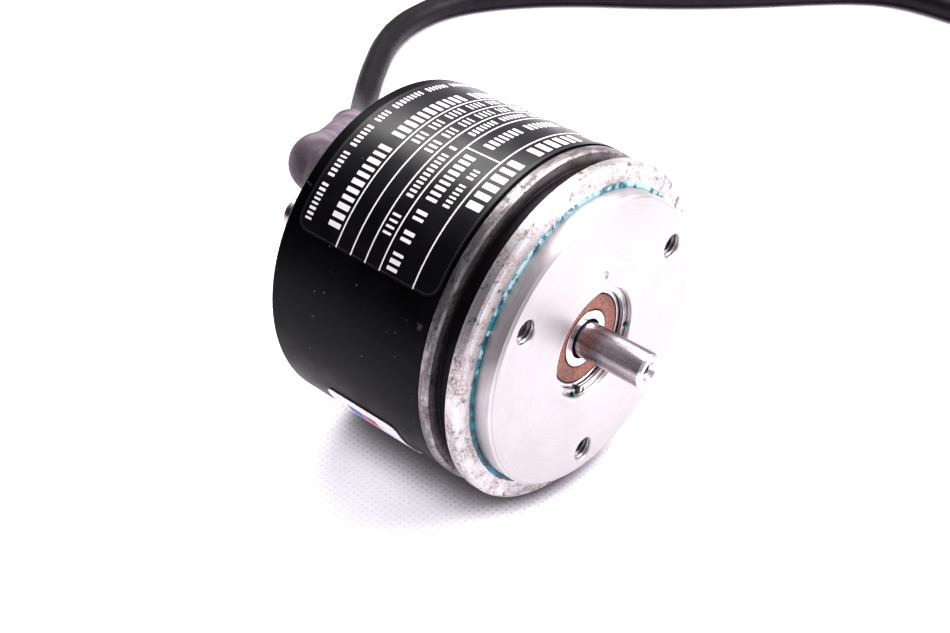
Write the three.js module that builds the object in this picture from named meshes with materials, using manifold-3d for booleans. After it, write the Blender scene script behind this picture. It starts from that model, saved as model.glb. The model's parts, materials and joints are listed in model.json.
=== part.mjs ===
// Incremental rotary encoder of the 58 mm synchro-flange class, lying on its side with its cable.
//
// Millimetres, +Z up. The encoder's axis runs along Y, and its shaft points to -Y. The origin is
// on the ground, under the middle of the encoder itself; its cable lies out to +X and +Y.
// Inside the encoder group, y = 0 is the front face of the centring collar and the axis is x = z = 0.
import * as THREE from 'three';
import { mergeVertices } from 'three/addons/utils/BufferGeometryUtils.js';
import Module from 'manifold-3d';

// ---------- driving dimensions ----------
const BODY_RADIUS = 29;              // rims of the flange
const CASE_RADIUS = 28.9;
const CASE_INNER_RADIUS = 27.4;
const PILOT_RADIUS = 25;             // centring collar, 50 mm across
const SHAFT_RADIUS = 3;
const SHAFT_TIP = -10.5;             // how far the shaft stands out of the collar's face
const SHAFT_END = 28.4;
const RIM_FRONT = 3.4;               // clamping rim, its face behind the collar's face
const RIM_REAR = 5.7;
const SECOND_RIM_FRONT = 9.2;
const CASE_FRONT = 11.15;
const CASE_REAR = 43.8;
const OUTLET_END = 49.5;
const FIXING_ANGLES = [25, 145, 265]; // degrees from +X towards +Z
const M4_CIRCLE_RADIUS = 21;
const M4_HOLE_RADIUS = 2;
const M4_HOLE_DEPTH = 6.5;
const POST_CIRCLE_RADIUS = 24.4;
const OUTLET_AT = { x: -6.5, z: 13 };
const FACE_Y = -(SHAFT_TIP + OUTLET_END) / 2; // the collar's face, in the object's frame

const BEARING_HOUSING_RADIUS = 9.5;
const FIT_GAP = 0.1;                 // between pieces that seat on each other
const BODY_SEGMENTS = 36;            // facets round the large turned pieces
const BEARING_SEGMENTS = 24;
const FRONT_BEARING = {
  middle: 5.05, halfWidth: 3, outer: 9.4, outerLand: 7.3, innerLand: 5.2,
  pitch: 6.25, ball: 1.68, groove: 1.85, balls: 7,
};
const REAR_BEARING = {
  middle: 17.1, halfWidth: 2.5, outer: 7.4, outerLand: 6.05, innerLand: 4.45,
  pitch: 5.25, ball: 1.18, groove: 1.35, balls: 6,
};

const CABLE_RADIUS = 3;
const COIL_CENTRE = { x: 172, y: -27 };       // y from the collar's face, as all the route's points
const COIL_INNER_TURN = 27;
const COIL_TURNS = 3;
const CONNECTOR_RADIUS = 12.5;

// The cable's route, x and y in the encoder group's frame and z above the ground.
const BOOT_ROUTE = [
  [-6.5, 49.8, 42], [-6.6, 53, 42], [-6.2, 56, 41.8], [-3.4, 58.8, 41],
  [1.5, 61.2, 39.4], [9.5, 65.9, 36.5], [17, 72, 32.4],
];
const RUN_ROUTE = [
  [17.3, 72.2, 32.2], [25, 79, 26.6], [34, 87.5, 20], [44, 97.5, 12.5], [53, 107, 6.6],
  [61, 114.6, 3.4], [69, 121, 3], [77.5, 127, 3], [85.5, 132, 3], [94, 135.6, 3], [103, 137, 3],
  [112, 136, 3], [121, 132, 3], [130, 125.5, 3], [141, 114.5, 3], [151, 102, 3], [161, 90.5, 3],
  [172, 79.5, 3], [183, 69.3, 3], [190, 62, 3], [194.8, 54.5, 3], [196.8, 46, 3], [197.2, 37, 3],
  [199.3, 26, 3], [202.8, 14.5, 3], [205.8, 3.6, 3],
];
const TAIL_ROUTE = [
  [191.1, -7.9, 9.3], [195.4, -13.5, 9.3], [198.1, -20, 9.3], [199, -27, 9.3], [198.1, -34, 9.3],
  [195.4, -40.5, 9.3], [191.1, -46.1, 9.3], [185.5, -50.4, 9.3], [177, -55.3, 9.3],
  [168, -60.5, 9.4], [159, -65.4, 9.8], [150, -69.7, 10.6], [141, -73, 11.6], [132.8, -74.6, 12.3],
];
const CONNECTOR_AT = { x: 132.5, y: -74.6 };

// ---------- solids ----------
const wasm = await Module();
wasm.setup();

// Welds a geometry's shared points, drops collapsed triangles and turns all faces outward.
function closed(geometry) {
  const bare = geometry.clone();
  bare.deleteAttribute('normal');
  bare.deleteAttribute('uv');
  const welded = mergeVertices(bare, 1e-4);
  const place = welded.attributes.position;
  const faces = [];
  let volume = 0;
  const [a, b, c] = [new THREE.Vector3(), new THREE.Vector3(), new THREE.Vector3()];
  for (let i = 0; i < welded.index.count; i += 3) {
    const corners = [0, 1, 2].map((k) => welded.index.getX(i + k));
    if (new Set(corners).size < 3) continue;
    faces.push(corners);
    a.fromBufferAttribute(place, corners[0]);
    b.fromBufferAttribute(place, corners[1]);
    c.fromBufferAttribute(place, corners[2]);
    volume += a.dot(b.cross(c));
  }
  welded.setIndex(faces.flatMap((corners) => (volume < 0 ? corners.reverse() : corners)));
  return welded;
}

function toSolid(geometry) {
  const welded = closed(geometry);
  return new wasm.Manifold(new wasm.Mesh({
    numProp: 3,
    vertProperties: new Float32Array(welded.attributes.position.array),
    triVerts: new Uint32Array(welded.index.array),
  }));
}

function fromSolid(solid) {
  const { vertProperties, triVerts } = solid.getMesh();
  const geometry = new THREE.BufferGeometry();
  geometry.setAttribute('position', new THREE.BufferAttribute(vertProperties, 3));
  geometry.setIndex(new THREE.BufferAttribute(triVerts, 1));
  return geometry;
}

function cut(geometry, ...tools) {
  return fromSolid(tools.reduce((solid, tool) => solid.subtract(toSolid(tool)), toSolid(geometry)));
}

function join(geometry, ...others) {
  return fromSolid(others.reduce((solid, other) => solid.add(toSolid(other)), toSolid(geometry)));
}

// A turned piece about Y from its [radius, y] outline, which closes on itself off the axis.
function turned(outline, segments = BODY_SEGMENTS) {
  const points = outline.map(([radius, y]) => new THREE.Vector2(radius, y));
  if (outline[0][0] > 0) points.push(points[0].clone());
  return closed(new THREE.LatheGeometry(points, segments));
}

function ring(inner, outer, y0, y1, segments = BODY_SEGMENTS) {
  return turned([[inner, y0], [outer, y0], [outer, y1], [inner, y1]], segments);
}

function rod(radius, y0, y1, x = 0, z = 0, segments = 16) {
  return new THREE.CylinderGeometry(radius, radius, y1 - y0, segments).translate(x, (y0 + y1) / 2, z);
}

function block([x0, x1], [y0, y1], [z0, z1]) {
  return new THREE.BoxGeometry(x1 - x0, y1 - y0, z1 - z0)
    .translate((x0 + x1) / 2, (y0 + y1) / 2, (z0 + z1) / 2);
}

// A length of curved plate about Y, from one angle to another, between two radii.
function arcPlate(inner, outer, fromDegrees, toDegrees, y0, y1, segments = 24) {
  const start = THREE.MathUtils.degToRad(fromDegrees);
  const end = THREE.MathUtils.degToRad(toDegrees);
  const shape = new THREE.Shape();
  shape.absarc(0, 0, outer, start, end, false);
  shape.absarc(0, 0, inner, end, start, true);
  // An arc is drawn with twice as many points as curveSegments.
  const settings = { depth: y1 - y0, bevelEnabled: false, curveSegments: segments / 2 };
  return new THREE.ExtrudeGeometry(shape, settings).rotateX(Math.PI / 2).translate(0, y1, 0);
}

// A round tube with flat ends along a route of [x, y, z] points.
function tube(route, radius, steps, sides = 10) {
  const path = new THREE.CatmullRomCurve3(route.map((point) => new THREE.Vector3(...point)));
  const section = new THREE.Shape();
  section.absarc(0, 0, radius, 0, Math.PI * 2, false);
  return new THREE.ExtrudeGeometry(section, { steps, extrudePath: path, curveSegments: sides / 2 });
}

// A tube that narrows over its first half.
function taperedTube(route, startRadius, endRadius, steps, sides) {
  const geometry = closed(tube(route, 1, steps, sides));
  const path = new THREE.CatmullRomCurve3(route.map((point) => new THREE.Vector3(...point)));
  const centres = path.getSpacedPoints(steps);
  const place = geometry.attributes.position;
  const point = new THREE.Vector3();
  for (let i = 0; i < place.count; i += 1) {
    point.fromBufferAttribute(place, i);
    const nearest = centres.reduce((best, centre, k) => (
      centre.distanceTo(point) < centres[best].distanceTo(point) ? k : best), 0);
    const narrowed = THREE.MathUtils.smoothstep(nearest / steps, 0, 0.5);
    const radius = THREE.MathUtils.lerp(startRadius, endRadius, narrowed);
    point.sub(centres[nearest]).setLength(radius).add(centres[nearest]);
    place.setXYZ(i, point.x, point.y, point.z);
  }
  return geometry;
}

function around(radius, degrees) {
  const angle = THREE.MathUtils.degToRad(degrees);
  return { x: radius * Math.cos(angle), z: radius * Math.sin(angle) };
}

// ---------- materials ----------
const paint = (color, roughness, metalness) => () => (
  new THREE.MeshStandardMaterial({ color, roughness, metalness }));
const wornAluminium = paint(0xc9c4c6, 0.45, 0.9);
const blackLacquer = paint(0x141216, 0.4, 0.1);
const labelFoil = paint(0x0f0e12, 0.3, 0.1);
const whiteFoil = paint(0xe8e6ea, 0.4, 0);
const polishedSteel = paint(0xd6d2d4, 0.2, 1);
const springSteel = paint(0x8d8a8c, 0.35, 1);
const sealBrown = paint(0x9a4a36, 0.7, 0);
const cageBrass = paint(0xb08d4a, 0.4, 0.8);
const glass = paint(0xcfe4e2, 0.05, 0);
const boardGreen = paint(0x1d5a36, 0.5, 0);
const darkPlastic = paint(0x25242a, 0.5, 0);
const nickelPlate = paint(0xbdb9b4, 0.3, 1);
const greyRubber = paint(0x4b4650, 0.8, 0);
const cableSheath = paint(0x2b2531, 0.6, 0);
const pinGold = paint(0xc7a04c, 0.3, 1);

// ---------- assembly helpers ----------
const object = new THREE.Group();
const encoder = new THREE.Group();
encoder.position.set(0, FACE_Y, BODY_RADIUS);
object.add(encoder);

function add(name, geometry, material, parent = encoder) {
  const mesh = new THREE.Mesh(geometry, material());
  mesh.name = name;
  parent.add(mesh);
  return mesh;
}

// ---------- housing ----------
function flange() {
  const outline = [
    [9.8, 0], [24.6, 0], [PILOT_RADIUS, 0.4], [PILOT_RADIUS, RIM_FRONT],
    [28.6, RIM_FRONT], [BODY_RADIUS, RIM_FRONT + 0.4], [BODY_RADIUS, RIM_REAR - 0.2],
    [28.8, RIM_REAR], [26.5, RIM_REAR], [26.5, SECOND_RIM_FRONT], [28.6, SECOND_RIM_FRONT],
    [BODY_RADIUS, SECOND_RIM_FRONT + 0.4], [BODY_RADIUS, 11], [27, 11],
    [27, 12], [25.6, 12], [25.6, 13.8], [27, 13.8], [27, 14.5],      // seat and ring groove
    [22.6, 14.5], [22.6, 8.5], [11, 8.5], [11, 19.8],                // hollow round the bearing tube
    [7.5, 19.8], [7.5, 13.2], [6.2, 13.2], [6.2, 9], [8.2, 9], [8.2, 8.15],
    [BEARING_HOUSING_RADIUS, 8.15], [BEARING_HOUSING_RADIUS, 1.95], [9.95, 1.95], [9.95, 1.05],
    [BEARING_HOUSING_RADIUS, 1.05], [BEARING_HOUSING_RADIUS, 0.3],
  ];
  const holes = FIXING_ANGLES.map((degrees) => {
    const { x, z } = around(M4_CIRCLE_RADIUS, degrees);
    return rod(M4_HOLE_RADIUS, -1, M4_HOLE_DEPTH, x, z, 16);
  });
  const punchMark = around(12.4, 84);
  return cut(turned(outline), ...holes, rod(0.8, -1, 0.7, punchMark.x, punchMark.z, 8));
}

function caseCan() {
  const can = turned([
    [0, 41.8], [CASE_INNER_RADIUS, 41.8], [CASE_INNER_RADIUS, CASE_FRONT], [CASE_RADIUS, CASE_FRONT],
    [CASE_RADIUS, CASE_REAR - 0.5], [CASE_RADIUS - 0.5, CASE_REAR], [0, CASE_REAR],
  ]);
  const screwHoles = FIXING_ANGLES.map((degrees) => {
    const { x, z } = around(POST_CIRCLE_RADIUS, degrees);
    return rod(1.3, 41, 45, x, z, 12);
  });
  return cut(can, rod(4.4, 41, 45, OUTLET_AT.x, OUTLET_AT.z, 24), ...screwHoles);
}

add('flange', flange(), wornAluminium);
add('case', caseCan(), blackLacquer);
add('label', arcPlate(29, 29.12, 18, 147, 11.5, 41.4), labelFoil);
add('sticker', arcPlate(29, 29.12, 202, 230, 18.5, 34, 8), whiteFoil);
add('case_oring', turned(Array.from({ length: 6 }, (_, k) => {
  const angle = (k * Math.PI) / 3;
  return [26.5 + 0.7 * Math.cos(angle), 12.9 + 0.7 * Math.sin(angle)];
}), 24), greyRubber);

FIXING_ANGLES.forEach((degrees, k) => {
  const { x, z } = around(POST_CIRCLE_RADIUS, degrees);
  const lowerPost = cut(rod(2.75, 14.65, 31.85, x, z, 6), rod(1.45, 24, 32, x, z, 10));
  const upperPost = join(
    cut(rod(2.75, 33.85, 41.6, x, z, 6), rod(1.2, 36.5, 42, x, z, 10)),
    rod(1.3, 26, 34.2, x, z, 10),
  );
  const screw = turned([
    [0, 37.2], [1, 37.2], [1, 43.95], [2.75, 43.95], [2.75, 46.1], [2.2, 46.8], [0, 46.9],
  ], 16).translate(x, 0, z);
  add(`lower_post_${k + 1}`, lowerPost, nickelPlate);
  add(`upper_post_${k + 1}`, upperPost, nickelPlate);
  add(`cover_screw_${k + 1}`, screw, springSteel);
});

// ---------- bearings ----------
// Points of the ball groove, from one land to the other, bulging outwards or inwards.
function groove({ middle, pitch, groove: radius }, land, points = 5) {
  const half = Math.acos(Math.abs(land - pitch) / radius);
  const side = Math.sign(land - pitch);
  return Array.from({ length: points }, (_, k) => {
    const angle = half * ((2 * k) / (points - 1) - 1);
    return [pitch + side * radius * Math.cos(angle), middle + radius * Math.sin(angle)];
  });
}

function addBalls(name, { middle, pitch, ball, balls, halfWidth }, cageHalf) {
  const front = middle - halfWidth + 0.8;
  const pockets = [];
  for (let k = 0; k < balls; k += 1) {
    const { x, z } = around(pitch, (360 / balls) * k);
    pockets.push(new THREE.SphereGeometry(ball * 1.16, 8, 6).translate(x, middle, z));
    add(`${name}_ball_${k + 1}`, new THREE.SphereGeometry(ball, 8, 6).translate(x, middle, z), polishedSteel);
  }
  const crown = ring(pitch - cageHalf, pitch + cageHalf, front, middle + 0.55, balls * 3);
  add(`${name}_cage`, cut(crown, ...pockets), cageBrass);
}

const frontFace = FRONT_BEARING.middle - FRONT_BEARING.halfWidth;
const frontBack = FRONT_BEARING.middle + FRONT_BEARING.halfWidth;
add('bearing_retaining_ring', arcPlate(8.5, 9.8, -103, 247, 1.15, 1.85, 28), springSteel);
add('front_bearing_outer_ring', turned([
  [9.1, frontFace], [FRONT_BEARING.outer, frontFace + 0.3], [FRONT_BEARING.outer, frontBack],
  [7.9, frontBack], [7.9, frontBack - 0.85], [FRONT_BEARING.outerLand, frontBack - 0.85],
  ...groove(FRONT_BEARING, FRONT_BEARING.outerLand).reverse(),
  [FRONT_BEARING.outerLand, frontFace + 0.85], [7.9, frontFace + 0.85], [7.9, frontFace],
], BEARING_SEGMENTS), polishedSteel);
add('front_bearing_inner_ring', turned([
  [3.35, frontFace], [4.9, frontFace], [4.9, frontFace + 0.85], [FRONT_BEARING.innerLand, frontFace + 0.85],
  ...groove(FRONT_BEARING, FRONT_BEARING.innerLand),
  [FRONT_BEARING.innerLand, frontBack - 0.85], [4.9, frontBack - 0.85], [4.9, frontBack],
  [SHAFT_RADIUS + FIT_GAP, frontBack], [SHAFT_RADIUS + FIT_GAP, frontFace + 0.25],
], BEARING_SEGMENTS), polishedSteel);
add('front_bearing_seal', ring(5, 7.8, frontFace + 0.1, frontFace + 0.6, BEARING_SEGMENTS), sealBrown);
addBalls('front_bearing', FRONT_BEARING, 0.33);

const rearFace = REAR_BEARING.middle - REAR_BEARING.halfWidth;
const rearBack = REAR_BEARING.middle + REAR_BEARING.halfWidth;
add('rear_bearing_outer_ring', turned([
  [REAR_BEARING.outer, rearFace], [REAR_BEARING.outer, rearBack], [REAR_BEARING.outerLand, rearBack],
  ...groove(REAR_BEARING, REAR_BEARING.outerLand).reverse(), [REAR_BEARING.outerLand, rearFace],
], BEARING_SEGMENTS), polishedSteel);
add('rear_bearing_inner_ring', turned([
  [SHAFT_RADIUS + FIT_GAP, rearFace], [REAR_BEARING.innerLand, rearFace],
  ...groove(REAR_BEARING, REAR_BEARING.innerLand), [REAR_BEARING.innerLand, rearBack],
  [SHAFT_RADIUS + FIT_GAP, rearBack],
], BEARING_SEGMENTS), polishedSteel);
addBalls('rear_bearing', REAR_BEARING, 0.26);

// Wave spring: a thin flat ring with three waves, which preloads the rear outer ring.
function waveSpring() {
  const geometry = ring(6.35, 7.3, 13.75, 14.05, 24);
  const place = geometry.attributes.position;
  for (let i = 0; i < place.count; i += 1) {
    const wave = 0.35 * Math.sin(3 * Math.atan2(place.getZ(i), place.getX(i)));
    place.setY(i, place.getY(i) + wave);
  }
  return geometry;
}
add('wave_spring', waveSpring(), springSteel);

// ---------- shaft and code disc ----------
add('shaft', turned([
  [0, -7.7], [0.9, -8.2], [0.9, -9.65], [1.75, SHAFT_TIP], [2.6, SHAFT_TIP], [SHAFT_RADIUS, SHAFT_TIP + 0.4],
  [SHAFT_RADIUS, 19.75], [2.6, 19.75], [2.6, 20.35], [SHAFT_RADIUS, 20.35],
  [SHAFT_RADIUS, SHAFT_END], [0, SHAFT_END],
], 24), polishedSteel);
add('inner_spacer', ring(
  SHAFT_RADIUS + FIT_GAP, 4.3, frontBack + FIT_GAP, rearFace - FIT_GAP, 24,
), springSteel);
add('shaft_circlip', arcPlate(2.72, 4.2, -60, 240, 19.82, 20.28, 16), springSteel);
add('disc_hub', cut(
  turned([
    [SHAFT_RADIUS + FIT_GAP, 20.6], [6.2, 20.6], [6.2, 21.4], [9, 21.4], [9, 22.9],
    [5.6, 22.9], [5.6, 28], [SHAFT_RADIUS + FIT_GAP, 28],
  ], 24),
  rod(1.15, 2, 7, 0, 0, 10).rotateZ(-Math.PI / 2).translate(0, 26.6, 0),
), nickelPlate);
add('hub_screw', rod(1, 3.2, 5.5, 0, 0, 10).rotateZ(-Math.PI / 2).translate(0, 26.6, 0), springSteel);
add('code_disc', ring(5.75, 20.5, 23, 24), glass);
add('disc_clamp', ring(5.75, 8.8, 24.1, 25, 24), nickelPlate);

// ---------- scanning unit, above the shaft ----------
const SCAN_Z = 16.6;
function scanBracket() {
  const arms = join(
    block([-4.6, 4.6], [15, 28.8], [12.4, 25]),
    block([-4.6, 4.6], [8.65, 15.2], [20.2, 21.7]),
  );
  return cut(
    arms,
    block([-6, 6], [21.9, 25.9], [10, 21.6]),
    rod(3.5, 14, 22.5, 0, SCAN_Z, 20),
    rod(2.6, 25, 30, 0, SCAN_Z, 16),
  );
}
add('scan_bracket', scanBracket(), darkPlastic);
add('lamp', turned([
  [0, 9.4], [2.9, 9.4], [2.9, 10.4], [2.4, 10.4], [2.4, 15.2], [1.7, 16.6], [0, 17.2],
], 20).translate(0, 0, SCAN_Z), glass);
add('condenser_lens', turned([
  [0, 18], [1.8, 18.3], [3.3, 19.2], [3.3, 20.8], [0, 20.8],
], 24).translate(0, 0, SCAN_Z), glass);
add('scanning_plate', block([-4, 4], [24.4, 25.6], [12.6, 20.8]), glass);
add('photocell_board', block([-4.6, 4.6], [29.1, 30.2], [12.4, 21]), boardGreen);

// ---------- electronics ----------
const boardHoles = FIXING_ANGLES.map((degrees) => {
  const { x, z } = around(POST_CIRCLE_RADIUS, degrees);
  return rod(1.55, 31, 35, x, z, 12);
});
add('circuit_board', cut(ring(4.2, 26.4, 32, 33.6), ...boardHoles), boardGreen);
add('wire_header', block([-11.5, -1.5], [33.8, 39.4], [-4.5, 0.5]), darkPlastic);
add('inner_lead', tube([
  [OUTLET_AT.x, 40.4, 12.6], [OUTLET_AT.x, 38.6, 10.6], [OUTLET_AT.x, 37, 7], [OUTLET_AT.x, 36.7, 3.6],
  [OUTLET_AT.x, 36.7, 0.8],
], 1.6, 8, 8), cableSheath);

// ---------- cable outlet, cable and connector ----------
add('cable_outlet', turned([
  [3.2, 41], [4.1, 41], [4.1, 44.1], [6.5, 44.1], [6.5, OUTLET_END], [3.2, OUTLET_END],
], 24).translate(OUTLET_AT.x, 0, OUTLET_AT.z), darkPlastic);

const ground = new THREE.Group();
ground.position.set(0, FACE_Y, 0);
object.add(ground);

function coilRing() {
  const outerTurn = COIL_INNER_TURN + (COIL_TURNS - 1) * 2 * CABLE_RADIUS;
  const shape = ring(COIL_INNER_TURN - CABLE_RADIUS, outerTurn + CABLE_RADIUS, 0, 2 * CABLE_RADIUS, 40);
  return shape.rotateX(Math.PI / 2).translate(COIL_CENTRE.x, COIL_CENTRE.y, 0);
}

add('cable_boot', taperedTube(BOOT_ROUTE, 6, 3.8, 12, 14), greyRubber, ground);
add('cable_run', tube(RUN_ROUTE, CABLE_RADIUS, 28, 8), cableSheath, ground);
add('cable_coil', coilRing(), cableSheath, ground);
add('cable_tail', tube(TAIL_ROUTE, CABLE_RADIUS, 16, 8), cableSheath, ground);

// The connector lies on the ground and points to -X: its outlines run along its own axis.
const connector = new THREE.Group();
connector.position.set(CONNECTOR_AT.x, CONNECTOR_AT.y, CONNECTOR_RADIUS);
connector.rotation.z = Math.PI / 2;
ground.add(connector);
const pins = Array.from({ length: 12 }, (_, k) => {
  const { x, z } = k < 9 ? around(5.4, 40 * k) : around(2.2, 120 * k);
  return rod(0.5, 34, 39.8, x, z, 4);
});
add('connector_body', turned([
  [3.35, 0], [6.4, 0], [7.4, 1.2], [7.4, 8.5], [9.6, 11], [10.2, 12.5], [10.2, 40], [8.3, 40],
  [8.3, 30], [3.35, 30],
], 24), nickelPlate, connector);
add('connector_ring', ring(10.4, CONNECTOR_RADIUS, 24, 45, 28), nickelPlate, connector);
add('connector_insert', join(rod(8.1, 30.3, 36, 0, 0, 28), ...pins), pinGold, connector);

export default object;
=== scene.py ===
"""Rotary encoder: the visible pieces, their materials, the light and the camera.

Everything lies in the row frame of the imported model, in metres. Outlines of turned pieces are in
millimetres: (radius, distance behind the collar's face), with an optional third number, the
radius that rounds that corner. Angles run in degrees from +X towards +Z.
"""
import json
import math
import random

import bmesh
import bpy
from mathutils import Matrix, Vector, noise


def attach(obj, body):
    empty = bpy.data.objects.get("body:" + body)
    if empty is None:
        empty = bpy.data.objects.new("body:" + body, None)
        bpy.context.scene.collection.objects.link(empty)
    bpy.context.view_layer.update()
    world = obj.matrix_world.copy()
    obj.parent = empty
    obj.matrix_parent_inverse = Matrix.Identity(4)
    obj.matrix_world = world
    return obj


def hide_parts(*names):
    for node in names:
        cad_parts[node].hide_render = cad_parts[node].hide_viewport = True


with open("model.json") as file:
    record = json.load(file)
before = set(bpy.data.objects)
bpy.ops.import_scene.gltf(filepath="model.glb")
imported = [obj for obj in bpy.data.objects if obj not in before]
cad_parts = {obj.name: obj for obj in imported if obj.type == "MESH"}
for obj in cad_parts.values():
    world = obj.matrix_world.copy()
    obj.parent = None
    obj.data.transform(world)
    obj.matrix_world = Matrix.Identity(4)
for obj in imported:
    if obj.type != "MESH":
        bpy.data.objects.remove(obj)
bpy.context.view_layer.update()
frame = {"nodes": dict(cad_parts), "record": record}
random.seed(58)

MM = 0.001
COLLAR_FACE_Y = -19.5 * MM
SHAFT_HEIGHT = 29.0 * MM
ENCODER = Matrix.Translation((0, COLLAR_FACE_Y, SHAFT_HEIGHT)) @ Matrix.Scale(MM, 4)
GROUND = Matrix.Translation((0, COLLAR_FACE_Y, 0)) @ Matrix.Scale(MM, 4)

SHAFT_RADIUS = 3
COLLAR_RADIUS = 25
COLLAR_DEPTH = 3.4
RIM_RADIUS = 29
GROOVE_FRONT = 5.7
GROOVE_REAR = 9.2
GROOVE_FLOOR = 26.5     # radius of the clamping groove's floor
CASE_RADIUS = 28.9
CASE_REAR = 43.8
LABEL_RADIUS = 29.12
INK_RADIUS = LABEL_RADIUS + 0.012
LINE_RADIUS = LABEL_RADIUS + 0.008
FOIL_THICKNESS = 0.11
FIXING_ANGLES = (25, 145, 265)
HOLE_CIRCLE = 21        # radius that the tapped holes lie on
SCREW_CIRCLE = 24.4     # radius that the cover screws lie on
OUTLET_AT = (-6.5, 0, 13)
CABLE_RADIUS = 3.0

CORNER_STEPS = 5        # faces in the arc of a rounded corner
HOLE_SEGMENTS = 40


def placed(name, data):
    """A new object in the scene."""
    made = bpy.data.objects.new(name, data)
    bpy.context.collection.objects.link(made)
    return made


def meshed(name, bm):
    """A mesh made from a bmesh, which is used up."""
    mesh = bpy.data.meshes.new(name)
    bm.to_mesh(mesh)
    bm.free()
    return mesh


# ---------- camera ----------
camera = placed("camera", bpy.data.cameras.new("camera"))
camera.location = (-0.1547, -0.1329, 0.1789)
camera.rotation_euler = Vector((0.5931, 0.5328, -0.6036)).to_track_quat("-Z", "Y").to_euler()
camera.data.sensor_width = 36
camera.data.lens = 58.51
camera.data.clip_start = 0.01
bpy.context.scene.camera = camera


# ---------- mesh helpers ----------
def around(radius, degrees, y=0.0):
    """A point on a circle round the encoder's axis."""
    angle = math.radians(degrees)
    return Vector((radius * math.cos(angle), y, radius * math.sin(angle)))


def rounded(outline):
    """The closed outline as plain points, with arcs at the corners that state a radius."""
    points = []
    for index, corner in enumerate(outline):
        here = Vector(corner[:2])
        if len(corner) < 3:
            points.append(here)
            continue
        before = (Vector(outline[index - 1][:2]) - here).normalized()
        after = (Vector(outline[(index + 1) % len(outline)][:2]) - here).normalized()
        half = before.angle(after) / 2
        middle = here + (before + after).normalized() * (corner[2] / math.sin(half))
        start = here + before * (corner[2] / math.tan(half)) - middle
        end = here + after * (corner[2] / math.tan(half)) - middle
        for k in range(CORNER_STEPS + 1):
            points.append(middle + start.slerp(end, k / CORNER_STEPS).normalized() * corner[2])
    return points


def lathe(outline, segments=160):
    """A solid turned round the Y axis from a closed outline."""
    bm = bmesh.new()
    points = rounded(outline)
    rings = []
    for radius, y in points:
        if radius < 1e-6:
            rings.append([bm.verts.new((0, y, 0))] * segments)
        else:
            rings.append([bm.verts.new(around(radius, 360 * k / segments, y)) for k in range(segments)])
    for ring, following in zip(rings, rings[1:] + rings[:1]):
        for k in range(segments):
            after = (k + 1) % segments
            corners = dict.fromkeys((ring[k], ring[after], following[after], following[k]))
            if len(corners) > 2:
                bm.faces.new(corners)
    bmesh.ops.recalc_face_normals(bm, faces=bm.faces)
    return bm


def sweep(points, radii, sides=32):
    """A closed tube along points, with its own radius at each one."""
    bm = bmesh.new()
    points = [Vector(point) for point in points]
    side = None
    rings = []
    for index, point in enumerate(points):
        before = points[max(index - 1, 0)]
        after = points[min(index + 1, len(points) - 1)]
        along = (after - before).normalized()
        side = along.orthogonal() if side is None else side - along * side.dot(along)
        side.normalize()
        other = along.cross(side)
        ring = []
        for k in range(sides):
            angle = 2 * math.pi * k / sides
            out = side * math.cos(angle) + other * math.sin(angle)
            ring.append(bm.verts.new(point + out * radii[index]))
        rings.append(ring)
    for ring, following in zip(rings, rings[1:]):
        for k in range(sides):
            after = (k + 1) % sides
            bm.faces.new((ring[k], ring[after], following[after], following[k]))
    bm.faces.new(rings[0])
    bm.faces.new(rings[-1])
    bmesh.ops.recalc_face_normals(bm, faces=bm.faces)
    return bm


def smooth_route(points, steps=8):
    """Points along a smooth curve through the given ones."""
    points = [Vector(point) for point in points]
    ends = [2 * points[0] - points[1]] + points + [2 * points[-1] - points[-2]]
    curve = []
    for a, b, c, d in zip(ends, ends[1:], ends[2:], ends[3:]):
        for k in range(steps):
            t = k / steps
            curve.append(0.5 * (2 * b + (c - a) * t + (2 * a - 5 * b + 4 * c - d) * t * t
                                + (3 * b - a - 3 * c + d) * t * t * t))
    return curve + [points[-1]]


def arc_patch(bm, radius, start, end, front, rear, corner=0.0, step=3.0):
    """Adds a patch of a cylinder round the Y axis, between two angles, with rounded corners."""
    length = math.radians(end - start) * radius
    columns = max(2, math.ceil(length / step) + 1)
    stops = [k / (columns - 1) for k in range(columns)]
    if corner:
        turn = [corner * (1 - math.cos(math.radians(angle))) / length for angle in range(0, 91, 15)]
        inside = [s for s in stops if turn[-1] < s < 1 - turn[-1]]
        stops = turn + inside + [1 - t for t in reversed(turn)]
    previous = None
    for stop in stops:
        near_end = corner - min(stop, 1 - stop) * length
        inset = corner - math.sqrt(corner ** 2 - near_end ** 2) if near_end > 0 else 0
        degrees = start + (end - start) * stop
        pair = [bm.verts.new(around(radius, degrees, y)) for y in (front + inset, rear - inset)]
        if previous:
            bm.faces.new((previous[0], pair[0], pair[1], previous[1]))
        previous = pair
    return bm


def finish_mesh(mesh, sharp=30):
    """Smooth shading with sharp edges where two faces meet at more than the given angle."""
    mesh.polygons.foreach_set("use_smooth", [True] * len(mesh.polygons))
    mesh.set_sharp_from_angle(angle=math.radians(sharp))


def piece(name, bm, material, nodes=(), body="stator", place=ENCODER, sharp=30):
    """One Blender piece on a body, standing for the CAD nodes it replaces."""
    bm.transform(place)
    mesh = meshed(name, bm)
    finish_mesh(mesh, sharp)
    mesh.materials.append(material)
    made = placed(name, mesh)
    weighted = made.modifiers.new("flat_faces_first", "WEIGHTED_NORMAL")
    weighted.keep_sharp = True
    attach(made, body)
    if nodes:
        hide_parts(*nodes)
    return made


def joined(*parts):
    """Several bmeshes as one."""
    whole = bmesh.new()
    for part in parts:
        mesh = meshed("part", part)
        whole.from_mesh(mesh)
        bpy.data.meshes.remove(mesh)
    return whole


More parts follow.
